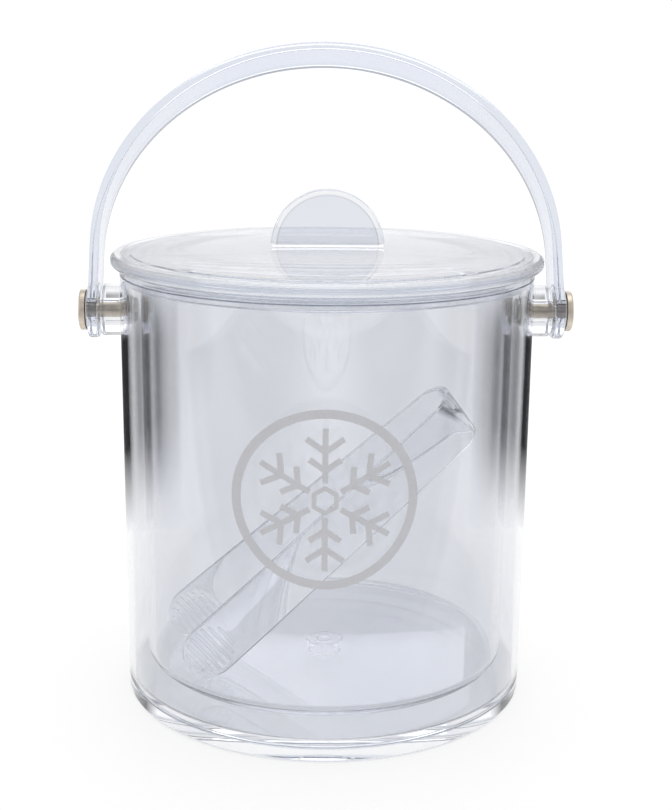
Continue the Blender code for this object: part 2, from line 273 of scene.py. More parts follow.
def rod_x(name, radius, low, high):
    """A cutter along the pivots' axis."""
    clear_selection()
    middle = Vector(((low + high) / 2, PIVOT.y, PIVOT.z))
    bpy.ops.mesh.primitive_cylinder_add(
        radius=radius,
        depth=high - low,
        vertices=SMALL_TURN,
        location=middle,
        rotation=(0.0, math.pi / 2, 0.0),
    )
    settle()
    return named(name)


def turned_about(piece, place, matrix):
    """Puts a piece that was modelled upright into its place, in its mesh."""
    take(piece)
    piece.matrix_world = Matrix.Translation(place) @ matrix
    settle()


# ---------------------------------------------------------------- materials


class Value:
    """A number or colour inside a material. Sums written with it add their Math nodes."""

    def __init__(self, finish, socket):
        self.finish = finish
        self.socket = socket

    def math(self, operation, first, second):
        return self.finish.node("ShaderNodeMath", {"operation": operation}, (first, second))

    def __add__(self, other):
        return self.math("ADD", self, other)

    __radd__ = __add__

    def __sub__(self, other):
        return self.math("SUBTRACT", self, other)

    def __rsub__(self, other):
        return self.math("SUBTRACT", other, self)

    def __mul__(self, other):
        return self.math("MULTIPLY", self, other)

    __rmul__ = __mul__

    def __pow__(self, other):
        return self.math("POWER", self, other)

    def above(self, level):
        return self.math("GREATER_THAN", self, level)

    def sine(self):
        return self.math("SINE", self, 0.0)


class Finish:
    """One material, built up node by node on a Principled shader."""

    def __init__(self, name, slot, **constants):
        self.slot = slot
        self.material = bpy.data.materials.new(name)
        self.material.use_nodes = True
        self.tree = self.material.node_tree
        self.shader = self.tree.nodes["Principled BSDF"]
        for socket, value in constants.items():
            self.shader.inputs[socket.replace("_", " ")].default_value = value
        self.place = self.node("ShaderNodeTexCoord", {}, {}, "Object")

    def node(self, kind, settings, values, output=0):
        """Adds a node: first its settings, then its sockets' values or links."""
        made = self.tree.nodes.new(kind)
        for name, value in settings.items():
            setattr(made, name, value)
        pairs = values.items() if isinstance(values, dict) else enumerate(values)
        for socket, value in pairs:
            if isinstance(value, Value):
                self.tree.links.new(value.socket, made.inputs[socket])
            else:
                made.inputs[socket].default_value = value
        return Value(self, made.outputs[output])

    def noise(self, scale, detail=2.0, stretch=(1.0, 1.0, 1.0), turn=(0.0, 0.0, 0.0)):
        """Soft noise on the piece. Scale counts patches in a metre."""
        place = self.node(
            "ShaderNodeMapping", {}, {"Vector": self.place, "Rotation": turn, "Scale": stretch}
        )
        values = {"Vector": place, "Scale": scale, "Detail": detail}
        return self.node("ShaderNodeTexNoise", {}, values)

    def span(self, value, low, high, to_low, to_high):
        """Value between low and high, spread from to_low to to_high."""
        values = (value, low, high, to_low, to_high)
        return self.node("ShaderNodeMapRange", {"clamp": True}, values)

    def colours(self, factor, first, second):
        """A mix of two colours, each plain or worked out."""
        pair = [mixed if isinstance(mixed, Value) else (*mixed, 1.0) for mixed in (first, second)]
        values = {0: factor, 6: pair[0], 7: pair[1]}
        return self.node("ShaderNodeMix", {"data_type": "RGBA"}, values, 2)

    def apart(self):
        """X, Y and Z of the place on the piece."""
        made = self.tree.nodes.new("ShaderNodeSeparateXYZ")
        self.tree.links.new(self.place.socket, made.inputs[0])
        return [Value(self, socket) for socket in made.outputs]

    def feed(self, socket, value):
        self.tree.links.new(value.socket, self.shader.inputs[socket])

    def bump(self, height, strength, distance):
        values = {"Strength": strength, "Distance": distance, "Height": height}
        self.feed("Normal", self.node("ShaderNodeBump", {}, values))


def scuffs(finish, scale, fineness):
    """Fine hairline scratches that run two ways, as marks between 0 and 1."""
    one_way = finish.noise(scale, 1.0, (1.0, 1.0, 14.0), (0.5, 0.3, 0.2))
    other_way = finish.noise(scale, 1.0, (14.0, 1.0, 1.0), (0.2, 0.7, 0.9))
    patches = finish.span(finish.noise(scale * 0.2), 0.5, 0.65, 0.0, 1.0)
    marks = one_way.above(fineness) + other_way.above(fineness)
    return marks * patches


def drifting(finish, tint, deep_tint):
    """A tint that drifts slowly into its deeper shade and back."""
    drift = finish.span(finish.noise(14.0), 0.35, 0.65, 0.0, 1.0)
    return finish.colours(drift, tint, deep_tint)


def banded(finish, ground, where, *bands):
    """Bands of other colours over a ground colour: (from, to, colour), with soft ends. The bands are
    painted shade lines and painted highlights.
    """
    soft = 0.3 * MM
    for low, high, colour in bands:
        rising = finish.span(where, low - soft, low, 0.0, 1.0)
        falling = finish.span(where, high, high + soft, 1.0, 0.0)
        ground = finish.colours(rising * falling, ground, colour)
    return ground


def clear_acrylic(name, slot, tint, deep_tint, ripple=0.05, joints=()):
    """Polished clear acrylic: a cool tint, painted shade lines at its joints and edges, faint smudges,
    hairlines, a ripple.
    """
    finish = Finish(name, slot, Transmission_Weight=1.0, IOR=ACRYLIC_IOR)
    height = finish.apart()[2]
    # The bands passed as joints are painted shade lines.
    finish.feed("Base Color", banded(finish, drifting(finish, tint, deep_tint), height, *joints))
    smudges = finish.span(finish.noise(55.0, 3.0), 0.52, 0.75, 0.0, SMUDGE)
    finish.feed("Roughness", smudges + scuffs(finish, 260.0, 0.72) * HAIRLINE)
    finish.bump(finish.noise(38.0, 1.0), ripple, 0.4 * MM)
    return finish


def edged_acrylic(name, tint, deep_tint, edge_r, lines, standing=False):
    """Clean clear acrylic on a disc, with painted shade lines, and on the knob a painted highlight, that
    follow its edge. A standing disc's are upright.
    """
    finish = Finish(name, "clear_lid", Transmission_Weight=1.0, IOR=ACRYLIC_IOR, Roughness=0.0)
    across, along, up = finish.apart()
    other = up - KNOB_LOW.z if standing else along
    from_edge = edge_r - (across**2.0 + other**2.0) ** 0.5
    finish.feed("Base Color", banded(finish, drifting(finish, tint, deep_tint), from_edge, *lines))
    return finish


def turned_metal(name, slot, light, dark, roughness):
    """Satin metal with the fine rings that turning leaves."""
    finish = Finish(name, slot, Metallic=1.0)
    along, up = finish.apart()[1:]
    radius = ((along - PIVOT.y) ** 2.0 + (up - PIVOT.z) ** 2.0) ** 0.5
    ring_pitch = 0.35 * MM
    rings = (radius * (math.tau / ring_pitch)).sine()
    cloud = finish.noise(420.0, 3.0)
    finish.feed("Base Color", finish.colours(finish.span(cloud, 0.3, 0.7, 0.0, 1.0), light, dark))
    finish.feed("Roughness", finish.span(cloud, 0.3, 0.7, roughness - 0.06, roughness + 0.08))
    finish.bump(rings * 0.5 + cloud, 0.25, 0.02 * MM)
    return finish


def printed_frost():
    """The pale grey print on the front: slightly see-through, with the grain of its ink."""
    finish = Finish("frost print", "clear_shell")
    grain = finish.noise(2600.0, 2.0)
    cloud = finish.noise(60.0, 2.0)
    pale = (0.62, 0.62, 0.64)
    deep = (0.56, 0.56, 0.59)
    finish.feed("Base Color", finish.colours(cloud, pale, deep))
    finish.feed("Roughness", finish.span(grain, 0.3, 0.7, 0.45, 0.65))
    finish.feed("Alpha", finish.span(grain, 0.35, 0.65, 0.66, 0.78))
    return finish


def nylon():
    """Off-white moulded nylon with a fine grain."""
    finish = Finish("nylon", "nylon_washer", IOR=1.53)
    grain = finish.noise(900.0, 2.0)
    finish.feed("Base Color", finish.colours(grain, (0.74, 0.74, 0.72), (0.66, 0.66, 0.64)))
    finish.feed("Roughness", finish.span(grain, 0.3, 0.7, 0.38, 0.52))
    finish.bump(grain, 0.1, 0.02 * MM)
    return finish


ACRYLIC_IOR = 1.49
SMUDGE = 0.03
HAIRLINE = 0.08
SHELL_TINT = (0.888, 0.894, 0.912)
SHELL_DEEP = (0.868, 0.876, 0.898)
LINER_TINT = (0.950, 0.954, 0.965)
LINER_DEEP = (0.930, 0.936, 0.950)
LID_TINT = (0.875, 0.885, 0.905)
LID_DEEP = (0.85, 0.862, 0.885)
# A painted highlight and a painted edge shade, for the knob's bevel.
PAINTED_HIGHLIGHT = (0.90, 0.91, 0.93)
PAINTED_EDGE_SHADE = (0.66, 0.68, 0.73)
# Painted shade, for the dark lines at the walls' joints and edges and on the lid.
PAINTED_SHADE_LINE = (0.58, 0.62, 0.70)
KNOB_TINT = (0.79, 0.81, 0.86)
KNOB_DEEP = (0.76, 0.785, 0.84)
HANDLE_TINT = (0.75, 0.78, 0.85)
HANDLE_DEEP = (0.72, 0.755, 0.835)
TONG_TINT = (0.975, 0.978, 0.985)
TONG_DEEP = (0.960, 0.966, 0.978)
# Painted shade lines and painted highlights in a finish: from, to, colour. Heights on the walls,
# distances from the edge on the lid and knob.
# Painted shade lines on the shell and base: at the foot, at the wall's seat on the base, under the rim
# and on the rim's top edge.
SHELL_PAINTED_SHADE = (
    (-0.1 * MM, 0.8 * MM, PAINTED_SHADE_LINE),
    (BASE_HIGH.z - 3.6 * MM, BASE_HIGH.z - 2.9 * MM, PAINTED_SHADE_LINE),
    (RIM_HIGH.z - 3.5 * MM, RIM_HIGH.z - 2.8 * MM, PAINTED_SHADE_LINE),
    (RIM_HIGH.z - 0.5 * MM, RIM_HIGH.z + 0.1 * MM, PAINTED_SHADE_LINE),
)
# Painted shade lines on the lid: at its rolled edge, in its groove and at the panel's step.
LID_PAINTED_SHADE = (
    (-0.3 * MM, 0.1 * MM, PAINTED_SHADE_LINE),
    (4.6 * MM, 5.2 * MM, PAINTED_SHADE_LINE),
    (8.5 * MM, 9.2 * MM, PAINTED_SHADE_LINE),
)
# Painted light on the knob: painted shade lines at its edge and inside its bevel, with a painted
# highlight band between them.
KNOB_PAINTED_LIGHT = (
    (-0.2 * MM, 0.2 * MM, PAINTED_EDGE_SHADE),
    (0.5 * MM, 2.4 * MM, PAINTED_HIGHLIGHT),
    (2.7 * MM, 3.0 * MM, PAINTED_EDGE_SHADE),
)
SHELL_ACRYLIC = clear_acrylic(
    "shell acrylic", "clear_shell", SHELL_TINT, SHELL_DEEP, joints=SHELL_PAINTED_SHADE
)
BASE_ACRYLIC = clear_acrylic(
    "base acrylic", "clear_shell", LINER_TINT, LINER_DEEP, joints=SHELL_PAINTED_SHADE
)
LINER_ACRYLIC = clear_acrylic("liner acrylic", "clear_liner", LINER_TINT, LINER_DEEP)
LID_ACRYLIC = edged_acrylic("lid acrylic", LID_TINT, LID_DEEP, LID_HIGH.x, LID_PAINTED_SHADE)
KNOB_ACRYLIC = edged_acrylic(
    "knob acrylic", KNOB_TINT, KNOB_DEEP, KNOB_HIGH.x, KNOB_PAINTED_LIGHT, standing=True
)
HANDLE_ACRYLIC = clear_acrylic("handle acrylic", "clear_handle", HANDLE_TINT, HANDLE_DEEP)
TONG_ACRYLIC = clear_acrylic("tongs acrylic", "clear_tongs", TONG_TINT, TONG_DEEP, ripple=0.12)
SATIN = turned_metal("satin metal", "satin_metal", (0.72, 0.64, 0.54), (0.62, 0.55, 0.46), 0.38)
STEEL = turned_metal("screw steel", "satin_metal", (0.55, 0.54, 0.52), (0.45, 0.44, 0.42), 0.30)
BRASS = turned_metal("brass", "brass_washer", (0.72, 0.57, 0.25), (0.62, 0.48, 0.20), 0.28)
NYLON = nylon()
PRINT = printed_frost()


def coat(piece, finish):
    piece.data.materials.clear()
    piece.data.materials.append(finish.material)


def fit(piece, finish, body, *nodes):
    """Gives a finished piece its material, its body and the CAD nodes it stands for."""
    modify(piece, "WEIGHTED_NORMAL", keep_sharp=True)
    coat(piece, finish)
    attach(piece, body)
    if nodes:
        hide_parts(*nodes)


# ---------------------------------------------------------------- the bucket


def make_outer_wall():
    """The outer wall, drilled through for both barrels."""
    inner = BODY_R - WALL
    corners = [
        (BODY_R, SHELL_HIGH.z),
        (BODY_R, SHELL_LOW.z),
        (inner, SHELL_LOW.z),
        (inner, SHELL_HIGH.z),
    ]
    wall = lathe("outer_wall", rounded(corners, 0.25 * MM), FINE_TURN)
    drill = rod_x("barrel_drill", BARREL_FIT, -BODY_R - WALL, BODY_R + WALL)
    combine(wall, drill, "DIFFERENCE")
    smooth(wall)
    fit(wall, SHELL_ACRYLIC, "bucket", "outer_shell")
    return wall


def make_base():
    """The base plate, with a step that the wall sits round and a small raised ring."""
    step_r = BODY_R - WALL - TOUCH
    plate_top = SHELL_LOW.z - TOUCH
    ring_r = 7.5 * MM
    corners = [
        (0.0, BASE_HIGH.z, 0.0),
        (ring_r - EDGE, BASE_HIGH.z, 0.0),
        (ring_r, BASE_HIGH.z + 0.35 * MM, 0.15 * MM),
        (ring_r + EDGE, BASE_HIGH.z, 0.0),
        (step_r, BASE_HIGH.z, 0.8 * MM),
        (step_r, plate_top, 0.2 * MM),
        (BODY_R, plate_top, 0.4 * MM),
        (BODY_R, BASE_LOW.z, 1.4 * MM),
        (0.0, BASE_LOW.z, 0.0),
    ]
    base = lathe("base_plate", rounded(corners, EDGE, 6, closed=False), FINE_TURN, closed=False)
    fit(base, BASE_ACRYLIC, "bucket", "base_disc")


def make_liner():
    """The inner cup, with a moulding gate and a fine ring that hang below its floor."""
    inner = LINER_R - LINER_WALL
    gate_low = LINER_LOW.z
    underside = gate_low + LINER_GATE
    floor = underside + LINER_WALL
    ring_r = 8.5 * MM
    corners = [
        (0.0, floor, 0.0),
        (inner, floor, LINER_FILLET),
        (inner, LINER_HIGH.z, 0.25 * MM),
        (LINER_R, LINER_HIGH.z, 0.25 * MM),
        (LINER_R, underside, LINER_FILLET + LINER_WALL),
        (ring_r + EDGE, underside, 0.0),
        (ring_r, underside - 0.45 * MM, 0.15 * MM),
        (ring_r - EDGE, underside, 0.0),
        (4.0 * MM, underside, 0.0),
        (3.2 * MM, gate_low, 0.3 * MM),
        (0.0, gate_low, 0.0),
    ]
    liner = lathe("liner", rounded(corners, EDGE, 10, closed=False), FINE_TURN, closed=False)
    fit(liner, LINER_ACRYLIC, "bucket", "inner_liner")


def make_rim():
    """The ring that caps both walls, with a skirt between them."""
    skirt_outer = BODY_R - WALL - TOUCH
    skirt_inner = LINER_R + TOUCH
    plate_low = RIM_HIGH.z - 3.0 * MM
    inner = LINER_R - LINER_WALL
    corners = [
        (BODY_R, RIM_HIGH.z, 0.7 * MM),
        (BODY_R, plate_low, 0.2 * MM),
        (skirt_outer, plate_low, 0.2 * MM),
        (skirt_outer, RIM_LOW.z, 0.5 * MM),
        (skirt_inner, RIM_LOW.z, 0.5 * MM),
        (skirt_inner, plate_low, 0.2 * MM),
        (inner, plate_low, 0.2 * MM),
        (inner, RIM_HIGH.z, 0.7 * MM),
    ]
    fit(lathe("rim", rounded(corners, EDGE), FINE_TURN), SHELL_ACRYLIC, "bucket", "rim_ring")


def make_lid():
    """A domed plate with a grooved, rolled edge, and the ring under it that keeps it in place."""
    lid_r = LID_HIGH.x
    panel_r = lid_r - 9.0 * MM
    rise = 1.5 * MM
    edge_top = LID_HIGH.z - 2.0 * MM
    roll = 2.4 * MM
    dome = [
        (panel_r * share, LID_HIGH.z - rise * share**2, 0.0)
        for share in (0.0, 0.15, 0.3, 0.45, 0.6, 0.75, 0.9)
    ]
    corners = [
        *dome,
        (panel_r, LID_HIGH.z - rise, 0.5 * MM),
        (panel_r + 0.5 * MM, edge_top, 0.2 * MM),
        (panel_r + 3.6 * MM, edge_top, 0.0),
        (panel_r + 4.1 * MM, edge_top - 0.25 * MM, 0.2 * MM),
        (panel_r + 4.6 * MM, edge_top, 0.0),
        (lid_r, edge_top, roll),
        (lid_r, LID_LOW.z, roll),
        (0.0, LID_LOW.z, 0.0),
    ]
    plate = lathe("lid", rounded(corners, EDGE, 8, closed=False), FINE_TURN, closed=False)
    fit(plate, LID_ACRYLIC, "lid", "lid_plate")

    outer = LOCATOR_HIGH.x
    inner = outer - 4.0 * MM
    corners = [
        (outer, LOCATOR_HIGH.z, 0.1 * MM),
        (outer, LOCATOR_LOW.z),
        (inner, LOCATOR_LOW.z),
        (inner, LOCATOR_HIGH.z, 0.1 * MM),
    ]
    ring = lathe("locating_ring", rounded(corners, 0.6 * MM), FINE_TURN)
    fit(ring, LID_ACRYLIC, "lid", "lid_locating_ring")


def make_knob():
    """A half disc that stands on edge, with wide bevels round both faces."""
    radius = KNOB_HIGH.x
    clear_selection()
    bpy.ops.mesh.primitive_circle_add(
        vertices=128,
        radius=radius,
        fill_type="NGON",
        location=(0.0, KNOB_LOW.y, KNOB_LOW.z),
        rotation=(math.pi / 2, 0.0, 0.0),
    )
    knob = named("knob")
    settle()
    edit()
    bpy.ops.mesh.select_all(action="SELECT")
    bpy.ops.mesh.bisect(plane_co=(0.0, 0.0, KNOB_LOW.z), plane_no=UP, clear_inner=True)
    bpy.ops.mesh.select_all(action="SELECT")
    depth = Vector((0.0, KNOB_HIGH.y - KNOB_LOW.y, 0.0))
    bpy.ops.mesh.extrude_region_move(TRANSFORM_OT_translate={"value": depth})
    face_outwards()
    bevel(knob, 1.3 * MM, 3, 60, use_clamp_overlap=False)
    smooth(knob, 25.0)
    fit(knob, KNOB_ACRYLIC, "lid", "lid_knob")


# ---------------------------------------------------------------- the handle and its pivots


def make_handle():
    """One bent strip with a round lug at each end, modelled upright and then leaned back."""
    outer = COLLAR_HIGH.x + TOUCH + LUG_WASHER_THICK + TOUCH + LUG_PROUD + STRIP_THICK
    half_span = outer - STRIP_THICK / 2
    rise = ARCH_RISE - STRIP_THICK / 2
    steps = 96
    foot = -math.sqrt(LUG_R**2 - (STRIP_WIDTH / 2) ** 2) / 2
    angles = [math.pi * (1.0 - step / steps) for step in range(steps + 1)]
    arch = [
        Vector((half_span * math.cos(a), 0.0, ARM_STRAIGHT + rise * math.sin(a))) for a in angles
    ]
    route = [Vector((-half_span, 0.0, foot)), *arch, Vector((half_span, 0.0, foot))]
    strip = draw_line("handle_strip", [p - Vector((0.0, STRIP_WIDTH / 2, 0.0)) for p in route])
    across = Vector((0.0, STRIP_WIDTH, 0.0))
    bpy.ops.mesh.extrude_edges_move(TRANSFORM_OT_translate={"value": across})
    face_outwards()
    modify(strip, "SOLIDIFY", thickness=STRIP_THICK, offset=0.0, use_even_offset=True)
    bevel(strip, 0.7 * MM, 3, 50)
    turned_about(strip, PIVOT, Matrix.Identity(4))
    for side in (-1, 1):
        low = outer - STRIP_THICK - LUG_PROUD
        high = outer + LUG_PROUD
        corners = [
            (0.0, high, 0.0),
            (LUG_R, high, 1.1 * MM),
            (LUG_R, low, 1.1 * MM),
            (0.0, low, 0.0),
        ]
        lug = lathe(
            "lug", rounded(corners, EDGE, 6, closed=False), SMALL_TURN * 2, closed=False, side=side
        )
        combine(strip, lug, "UNION")
    reach = outer + STRIP_THICK
    combine(strip, rod_x("lug_drill", BARREL_FIT, -reach, reach), "DIFFERENCE")
    back_to_origin = Matrix.Translation(-PIVOT)
    strip.data.transform(back_to_origin)
    turned_about(strip, PIVOT, Matrix.Rotation(-HANDLE_LEAN, 4, "X"))
    smooth(strip, 35.0)
    fit(strip, HANDLE_ACRYLIC, "handle", "handle")


def make_pivot(side, word):
    """The cap and barrel, the screw, the collar and the washers of one side."""
    cap_inner = POST_HIGH.x - CAP_THICK
    cap_r = POST_HIGH.z - PIVOT.z
    bore_end = SCREW_HIGH.x + TOUCH
    corners = [
        (0.0, POST_HIGH.x - 0.15 * MM, 0.0),
        (cap_r * 0.8, POST_HIGH.x - 0.05 * MM, 0.0),
        (cap_r, POST_HIGH.x, 0.8 * MM),
        (cap_r, cap_inner, 0.25 * MM),
        (BARREL_R, cap_inner, 0.0),
        (BARREL_R, POST_LOW.x, 0.3 * MM),
        (SCREW_BORE_R, POST_LOW.x, 0.1 * MM),
        (SCREW_BORE_R, bore_end, 0.0),
        (0.0, bore_end, 0.0),
    ]
    outline = rounded(corners, EDGE, 5, closed=False)
    post = lathe("post_" + word, outline, SMALL_TURN, closed=False, side=side)
    fit(post, SATIN, "bucket", "pivot_post_" + word)

    head_r = SCREW_HIGH.z - PIVOT.z
    head_outer = SCREW_LOW.x + SCREW_HEAD_THICK
    corners = [
        (0.0, SCREW_HIGH.x, 0.0),
        (SCREW_R, SCREW_HIGH.x, 0.3 * MM),
        (SCREW_R, head_outer, 0.0),
        (head_r, head_outer, 0.2 * MM),
        (head_r, SCREW_LOW.x, 1.2 * MM),
        (0.0, SCREW_LOW.x, 0.0),
    ]
    outline = rounded(corners, EDGE, 5, closed=False)
    screw = lathe("screw_" + word, outline, SMALL_TURN, closed=False, side=side)
    slot_low = Vector((side * (SCREW_LOW.x + 0.3 * MM), PIVOT.y, PIVOT.z))
    clear_selection()
    bpy.ops.mesh.primitive_cube_add(size=1.0, location=slot_low)
    slot = named("driver_slot")
    bpy.ops.transform.resize(value=(SLOT_DEPTH, SLOT_WIDTH, 3.0 * head_r))
    settle()
    combine(screw, slot, "DIFFERENCE")
    smooth(screw)
    fit(screw, STEEL, "bucket", "pivot_screw_" + word)

    collar_r = COLLAR_HIGH.z - PIVOT.z
    inside_wall = BODY_R - 2.0 * MM
    corners = [
        (collar_r, COLLAR_HIGH.x, 1.2 * MM),
        (collar_r, inside_wall, 0.0),
        (BARREL_FIT, inside_wall, 0.0),
        (BARREL_FIT, COLLAR_HIGH.x, 0.3 * MM),
    ]
    collar = lathe("collar_" + word, rounded(corners, EDGE, 6), SMALL_TURN * 2, side=side)
    clear_selection()
    bpy.ops.mesh.primitive_cylinder_add(
        radius=BODY_R + TOUCH, depth=60.0 * MM, vertices=256, location=PIVOT
    )
    settle()
    combine(collar, named("saddle"), "DIFFERENCE")
    smooth(collar)
    fit(collar, SHELL_ACRYLIC, "bucket", "pivot_collar_" + word)

    for node, finish in (("cap_washer", NYLON), ("lug_washer", BRASS), ("backing_washer", STEEL)):
        low, high = low_high(node + "_right")
        bore = SCREW_BORE_R if node == "backing_washer" else BARREL_FIT
        radius = high.z - PIVOT.z
        corners = [(radius, high.x), (radius, low.x), (bore, low.x), (bore, high.x)]
        outline = rounded(corners, 0.12 * MM)
        washer = lathe(node.split("_")[0] + "_ring_" + word, outline, SMALL_TURN, side=side)
        fit(washer, finish, "bucket", node + "_" + word)


# ---------------------------------------------------------------- the tongs


def tongs_place():
    """The tongs' own axes: X opens them, Y is the strip's width, Z runs from the pads to the bow."""
    ahead = Vector((math.cos(TONG_HEADING), math.sin(TONG_HEADING), 0.0))
    opening = Vector((-math.sin(TONG_HEADING), math.cos(TONG_HEADING), 0.0))
    along = math.cos(TONG_SLOPE) * ahead + math.sin(TONG_SLOPE) * UP
    across = along.cross(opening)
    return opening, across, along


def make_tongs():
    """A bent strip in two halves that meet in the middle of the bow, each with a ribbed pad."""
    opening, across, along = tongs_place()
    axes = Matrix((opening, across, along)).transposed().to_4x4()
    bow_centre = (FLEX_FRONT + FLEX_REAR) / 2
    floor = LINER_LOW.z + LINER_GATE + LINER_WALL
    pads_z = floor + TOUCH + TONG_WIDTH / 2
    hinge_height = (bow_centre.z - pads_z) / math.sin(TONG_SLOPE)
    splay = math.atan((TIP_HALF_GAP - BOW_R) / hinge_height)
    arm_length = math.hypot(TIP_HALF_GAP - BOW_R, hinge_height)
    for word, side, flex in (("front", -1, FLEX_FRONT), ("rear", 1, FLEX_REAR)):
        steps = 20
        lap = -0.05 * MM * side  # the halves push into each other by a hair
        bow = [
            Vector((side * BOW_R * math.cos(a), 0.0, BOW_R * math.sin(a)))
            for a in [math.pi / 2 * step / steps for step in range(steps + 1)]
        ]
        bow[-1].x = lap
        down = Vector((side * math.sin(splay), 0.0, -math.cos(splay)))
        elbow = Vector((side * BOW_R, 0.0, 0.0))
        reach = arm_length + TONG_WIDTH
        arm_steps = 28
        arm = [elbow + down * reach * (1 - step / arm_steps) for step in range(arm_steps)]
        half_width = Vector((0.0, TONG_WIDTH / 2, 0.0))
        half = draw_line("tong_" + word, [point - half_width for point in arm + bow])
        bpy.ops.mesh.extrude_edges_move(TRANSFORM_OT_translate={"value": half_width * 2})
        face_outwards()
        modify(half, "SOLIDIFY", thickness=TONG_THICK, offset=0.0, use_even_offset=True)
        round_pad_end(half, elbow + down * arm_length, splay * side)
        bevel(half, 0.35 * MM, 2, 50)
        add_ribs(half, elbow + down * arm_length, down, side)
        turned_about(half, bow_centre, axes)
        smooth(half, 35.0)
        coat(half, TONG_ACRYLIC)
        nodes = ("tong_bow", "tong_front_arm") if side < 0 else ("tong_rear_arm",)
        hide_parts(*nodes)
        start = flex + along * 4.0 * MM  # a point above the joint and one below it, where the real tongs' bend begins and ends
        end = flex - along * 12.0 * MM
        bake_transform(half)


def round_pad_end(half, pad, lean):
    """Keeps what lies inside a long block with a round end about the pad."""
    clear_selection()
    block_length = 220.0 * MM
    bpy.ops.mesh.primitive_cylinder_add(
        radius=TONG_WIDTH / 2,
        depth=60.0 * MM,
        vertices=96,
        location=ORIGIN,
        rotation=(0.0, math.pi / 2, 0.0),
    )
    settle()
    keep = named("pad_outline")
    edit()
    bpy.ops.mesh.select_all(action="DESELECT")
    leave()
    for vertex in keep.data.vertices:
        vertex.select = vertex.co.z > 0.1 * MM
    edit()
    bpy.ops.transform.translate(value=(0.0, 0.0, block_length))
    leave()
    turned_about(keep, pad, Matrix.Rotation(-lean, 4, "Y"))
    combine(half, keep, "INTERSECT")


def add_ribs(half, pad, down, side):
    """Raised bars across the inner face of a pad, each as long as the pad is wide there."""
    field_r = TONG_WIDTH / 2 - PAD_BORDER
    pitch = 2 * field_r / RIB_COUNT
    inward = Vector((-side * math.cos(math.asin(abs(down.x))), 0.0, -abs(down.x)))
    turn = Matrix((inward, UP.cross(inward).normalized(), -down)).transposed().to_4x4()
    for index in range(RIB_COUNT):
        height = (index - (RIB_COUNT - 1) / 2) * pitch
        chord = 2 * math.sqrt(field_r**2 - height**2)
        clear_selection()
        bpy.ops.mesh.primitive_cube_add(size=1.0)
        rib = named("rib")
        bpy.ops.transform.resize(value=(RIB_DEEP, chord, RIB_BROAD))
        settle()
        modify(rib, "BEVEL", width=0.35 * MM, segments=2, limit_method="NONE")
        place = pad + inward * (TONG_THICK / 2 + 0.15 * MM) - down * height
        turned_about(rib, place, turn)
        combine(half, rib, "UNION")


# ---------------------------------------------------------------- the print


def arm_outline(base, tip, half_width, branches):
    """One snowflake arm along +Y with leaning branches, as a closed outline."""
    lean = Vector((math.sin(BRANCH_LEAN), math.cos(BRANCH_LEAN)))
    normal = Vector((-lean.y, lean.x))
    right = [Vector((half_width, base))]
    for height, length in branches:
        root = Vector((0.0, height))
        below = root - normal * half_width
        above = root + normal * half_width
        right.append(below + lean * (half_width - below.x) / lean.x)
        right.append(below + lean * length)
        right.append(above + lean * length)
        right.append(above + lean * (half_width - above.x) / lean.x)
    right.append(Vector((half_width, tip)))
    left = [Vector((-point.x, point.y)) for point in reversed(right)]
    return right + left


def ring_outline(radius, corners):
    angles = [math.tau * index / corners for index in range(corners)]
    return [Vector((radius * math.sin(angle), radius * math.cos(angle))) for angle in angles]


def make_print(wall):
    """A snowflake in a ring, laid onto the front of the wall."""
    outlines = [ring_outline(PRINT_R, 120), ring_outline(PRINT_R - RING_STROKE, 120)]
    outlines += [ring_outline(HEXAGON_R, 6), ring_outline(HEXAGON_R - ARM_STROKE * 0.9, 6)]
    arm = arm_outline(ARM_BASE, ARM_TIP, ARM_STROKE / 2, BRANCHES)
    for index in range(ARM_COUNT):
        turn = Matrix.Rotation(math.tau * index / ARM_COUNT, 2)
        outlines.append([turn @ point for point in arm])
    curve = bpy.data.curves.new("front_print", "CURVE")
    curve.dimensions = "2D"
    curve.fill_mode = "BOTH"
    for outline in outlines:
        spline = curve.splines.new("POLY")
        spline.points.add(len(outline) - 1)
        spline.use_cyclic_u = True
        for point, (x, y) in zip(spline.points, outline):
            point.co = (x, y, 0.0, 1.0)
    art = bpy.data.objects.new("front_print", curve)
    bpy.context.scene.collection.objects.link(art)
    take(art)
    bpy.ops.object.convert(target="MESH")
    art = named("front_print")
    before_wall = Vector((PRINT_ASIDE, -BODY_R - 20.0 * MM, PRINT_HEIGHT))
    turned_about(art, before_wall, Matrix.Rotation(math.pi / 2, 4, "X"))
    edit()
    facet = 3.0 * MM  # upright cuts, so that the print can follow the round wall
    for step in range(-13, 14):
        bpy.ops.mesh.select_all(action="SELECT")
        cut = Vector((step * facet + PRINT_ASIDE, 0.0, 0.0))
        bpy.ops.mesh.bisect(plane_co=cut, plane_no=(1.0, 0.0, 0.0))
    bpy.ops.mesh.select_all(action="SELECT")
    bpy.ops.mesh.remove_doubles(threshold=MERGE)
    leave()
    modify(
        art,
        "SHRINKWRAP",
        target=wall,
        wrap_method="PROJECT",
        use_project_y=True,
        use_positive_direction=True,
        use_negative_direction=False,
        offset=INK_LIFT,
    )
    modify(art, "SOLIDIFY", thickness=INK_THICK, offset=1.0)
    take(art)
    edit()
    face_outwards()
    smooth(art)
    fit(art, PRINT, "bucket")


# ---------------------------------------------------------------- the studio


